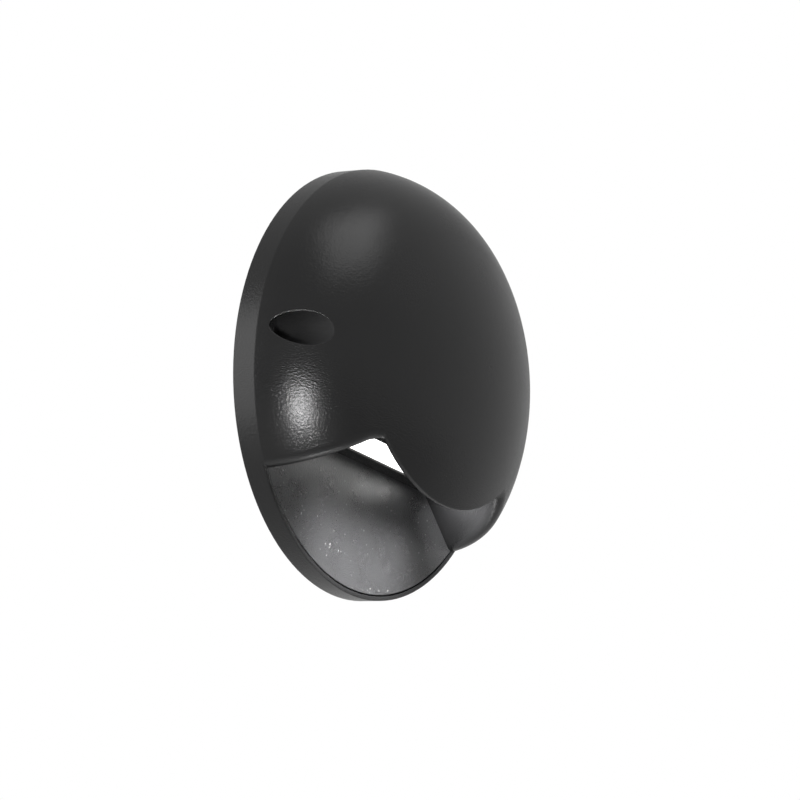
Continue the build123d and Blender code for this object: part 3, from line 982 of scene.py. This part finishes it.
class WALL_LIGHT_OT_driver(bpy.types.Operator):
    """Finish the driver board, its components and the two leads"""

    bl_idname = "wall_light.driver"
    bl_label = "Driver and leads"

    def execute(self, context):
        dress(moulded("Board green", (0.012, 0.11, 0.035), roughness=0.36, grain=0.0005), "driver_board")
        dress(moulded("Ferrite", (0.045, 0.045, 0.05), roughness=0.7, grain=0.0003), "driver_choke")
        dress(moulded("Capacitor sleeve", (0.015, 0.02, 0.06), roughness=0.3), "driver_capacitors")
        package = moulded("Package black", (0.02, 0.02, 0.021), roughness=0.55, grain=0.0002)
        dress(package, "driver_rectifier", "driver_chip")
        dress(moulded("Terminal grey", (0.2, 0.21, 0.22), roughness=0.5), "terminal_block")
        dress(moulded("Lead red", (0.42, 0.02, 0.015), roughness=0.45), "positive_lead")
        dress(moulded("Lead black", (0.015, 0.015, 0.015), roughness=0.45), "negative_lead")
        return {"FINISHED"}


def towards(azimuth, elevation):
    """Unit vector from the light's centre, with azimuth 0 straight in front."""
    across = math.sin(azimuth) * math.cos(elevation)
    forward = math.cos(azimuth) * math.cos(elevation)
    return Vector((across, -forward, math.sin(elevation)))


def place_camera(scene, shot):
    """Set the camera at its direction, distance and roll."""
    away = towards(shot.camera_azimuth, shot.camera_elevation)
    level = (-away).cross(Vector((0, 0, 1))).normalized()
    rise = level.cross(-away)
    right = level * math.cos(shot.camera_roll) + rise * math.sin(shot.camera_roll)
    upward = rise * math.cos(shot.camera_roll) - level * math.sin(shot.camera_roll)
    camera = bpy.data.cameras.new("Camera")
    camera.lens = shot.camera_lens
    camera.sensor_width = 36.0
    camera.clip_start = 0.01
    holder = put("Camera", camera)
    aside, above = shot.camera_aside
    spot = away * shot.camera_distance + right * aside + upward * above
    turn = Matrix((right, upward, away)).transposed().to_4x4()
    holder.matrix_world = Matrix.Translation(spot) @ turn
    scene.camera = holder


def white_surroundings(scene, shot):
    """White for the camera, softer as a fill, and with a grey flag in what the coat mirrors."""
    world = bpy.data.worlds.new("Studio")
    world.use_nodes = True
    tree = world.node_tree
    fill = shot.fill_strength
    path = node(tree, "ShaderNodeLightPath").outputs
    seen = math_node(tree, "MAXIMUM", path["Is Camera Ray"], path["Is Transmission Ray"])
    sight = node(tree, "ShaderNodeTexCoord").outputs["Generated"]
    flag_way = towards(shot.flag_azimuth, shot.flag_elevation)
    nearness = node(tree, "ShaderNodeVectorMath", {0: sight, 1: flag_way}, operation="DOT_PRODUCT")
    # Cosines of the angles to the flag's middle at which its grey begins and is full.
    flag_begins, flag_is_full = 0.1, 0.85
    shade = {
        "Value": nearness.outputs["Value"],
        "From Min": flag_begins,
        "From Max": flag_is_full,
        "To Min": 1.0,
        "To Max": shot.flag_grey,
    }
    flag = node(tree, "ShaderNodeMapRange", shade, label="Grey flag")
    over_fill = math_node(tree, "SUBTRACT", flag.outputs[0], fill)
    mirrored = math_node(tree, "MULTIPLY", path["Is Glossy Ray"], over_fill)
    soft = scaled(tree, seen, factor=1.0 - fill, shift=fill)
    strength = math_node(tree, "ADD", soft, mirrored)
    feed(tree, tree.nodes["Background"], {"Color": (1, 1, 1, 1), "Strength": strength})
    scene.world = world


def hang(name, lamp, place, aim):
    """Hang a lamp at a place, facing its aim and unseen by the camera."""
    holder = put(name, lamp)
    holder.location = place
    holder.rotation_euler = (place - Vector(aim)).to_track_quat("Z", "Y").to_euler()
    holder.visible_camera = False


def area_lamp(name, width, height, power):
    """Rectangular lamp."""
    lamp = bpy.data.lights.new(name, "AREA")
    lamp.shape = "RECTANGLE"
    lamp.size, lamp.size_y = width, height
    lamp.energy = power
    return lamp


def softbox(name, azimuth, elevation, distance, width, height, power):
    """Area lamp that faces the light's centre, from a direction in degrees."""
    place = towards(math.radians(azimuth), math.radians(elevation)) * distance
    hang(name, area_lamp(name, width, height, power), place, aim=(0, 0, 0))


def spotlight(name, azimuth, elevation, distance, radius, power, aim, beam):
    """Round lamp whose narrow beam reaches only the part of the light round its aim; angles in degrees."""
    lamp = bpy.data.lights.new(name, "SPOT")
    lamp.energy = power
    lamp.shadow_soft_size = radius
    lamp.spot_size = math.radians(beam)
    lamp.spot_blend = 0.7
    place = towards(math.radians(azimuth), math.radians(elevation)) * distance
    hang(name, lamp, place, aim)


def lamp_under_lens(name, tilt, length, power, spread):
    """Lamp under the lens's face that shines down, or tilted in degrees towards a wall of the opening."""
    width = 0.009
    gap = 0.0004
    tilted_aside = 0.012
    tilted_lower = 0.003
    lamp = area_lamp(name, length, width, power)
    lamp.spread = math.radians(spread)
    holder = put(name, lamp)
    middle = (LENS_LOW + LENS_HIGH) / 2
    lean = math.sin(math.radians(tilt))
    height = LENS_LOW.z - gap - tilted_lower * abs(lean)
    holder.location = (middle.x + tilted_aside * lean, middle.y, height)
    holder.rotation_euler = (0, -math.radians(tilt), 0)
    holder.visible_glossy = False


def floor_paper():
    """Pale matt paper that is clear when seen from below."""
    paper = bpy.data.materials.new("Floor paper")
    paper.use_nodes = True
    tree = paper.node_tree
    shader = tree.nodes["Principled BSDF"]
    feed(tree, shader, {"Base Color": (0.86, 0.86, 0.86, 1), "Roughness": 0.9})
    below = node(tree, "ShaderNodeNewGeometry").outputs["Backfacing"]
    clear = node(tree, "ShaderNodeBsdfTransparent").outputs[0]
    mix = node(tree, "ShaderNodeMixShader", {0: below, 1: shader.outputs[0], 2: clear})
    feed(tree, tree.nodes["Material Output"], {"Surface": mix.outputs[0]})
    return paper


def lay_floor(height, reach):
    """Lay a square floor of pale paper under the light."""
    mesh = bpy.data.meshes.new("floor")
    sides = ((-reach, -reach), (reach, -reach), (reach, reach), (-reach, reach))
    mesh.from_pydata([(x, y, height) for x, y in sides], [], [(0, 1, 2, 3)])
    mesh.materials.append(floor_paper())
    floor = put("floor", mesh)


class WALL_LIGHT_OT_stage(bpy.types.Operator):
    """Set up the camera, white surroundings, lamps and the floor"""

    bl_idname = "wall_light.stage"
    bl_label = "Stage"

    def execute(self, context):
        shot = settings().stage
        context.scene.view_settings.view_transform = "Standard"
        place_camera(context.scene, shot)
        white_surroundings(context.scene, shot)
        spotlight(
            "Key",
            azimuth=-56.0,
            elevation=-23.5,
            distance=0.65,
            radius=0.045,
            power=27.0,
            aim=(-0.046, -0.014, -0.02),
            beam=8.0,
        )
        softbox("Top", azimuth=-21.0, elevation=61.0, distance=1.0, width=0.6, height=0.6, power=3.0)
        softbox("Left", azimuth=-130.0, elevation=-15.0, distance=0.9, width=0.8, height=1.4, power=10.0)
        softbox("Under", azimuth=70.0, elevation=-64.0, distance=0.4, width=0.08, height=0.08, power=0.22)
        lamp_under_lens("Beam", tilt=0.0, length=0.04, power=0.28, spread=75.0)
        lamp_under_lens("Wash", tilt=80.0, length=0.006, power=0.045, spread=70.0)
        lay_floor(shot.floor_height, shot.floor_reach)
        return {"FINISHED"}


class VIEW3D_PT_wall_light(bpy.types.Panel):
    """Steps that dress the wall light"""

    bl_idname = "VIEW3D_PT_wall_light"
    bl_label = "Wall Light"
    bl_space_type = "VIEW_3D"
    bl_region_type = "UI"
    bl_category = "Wall Light"

    def draw(self, context):
        for step in STEPS:
            self.layout.operator(step.bl_idname)


STEPS = (
    WALL_LIGHT_OT_coat,
    WALL_LIGHT_OT_lens,
    WALL_LIGHT_OT_seals,
    WALL_LIGHT_OT_screws,
    WALL_LIGHT_OT_heat_parts,
    WALL_LIGHT_OT_driver,
    WALL_LIGHT_OT_stage,
)
CLASSES = (
    FinishSettings,
    PieceSettings,
    StageSettings,
    SCENE_PG_wall_light,
    *STEPS,
    VIEW3D_PT_wall_light,
)


def register():
    """Register the classes and give each scene the wall light's settings."""
    for item in CLASSES:
        bpy.utils.register_class(item)
    bpy.types.Scene.wall_light = bpy.props.PointerProperty(type=SCENE_PG_wall_light)


def unregister():
    """Take the settings and the classes away again."""
    del bpy.types.Scene.wall_light
    for item in reversed(CLASSES):
        bpy.utils.unregister_class(item)


def main():
    """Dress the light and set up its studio."""
    register()
    bpy.ops.wall_light.coat()
    bpy.ops.wall_light.lens()
    bpy.ops.wall_light.seals()
    bpy.ops.wall_light.screws()
    bpy.ops.wall_light.heat_parts()
    bpy.ops.wall_light.driver()
    bpy.ops.wall_light.stage()


if __name__ == "__main__":
    main()
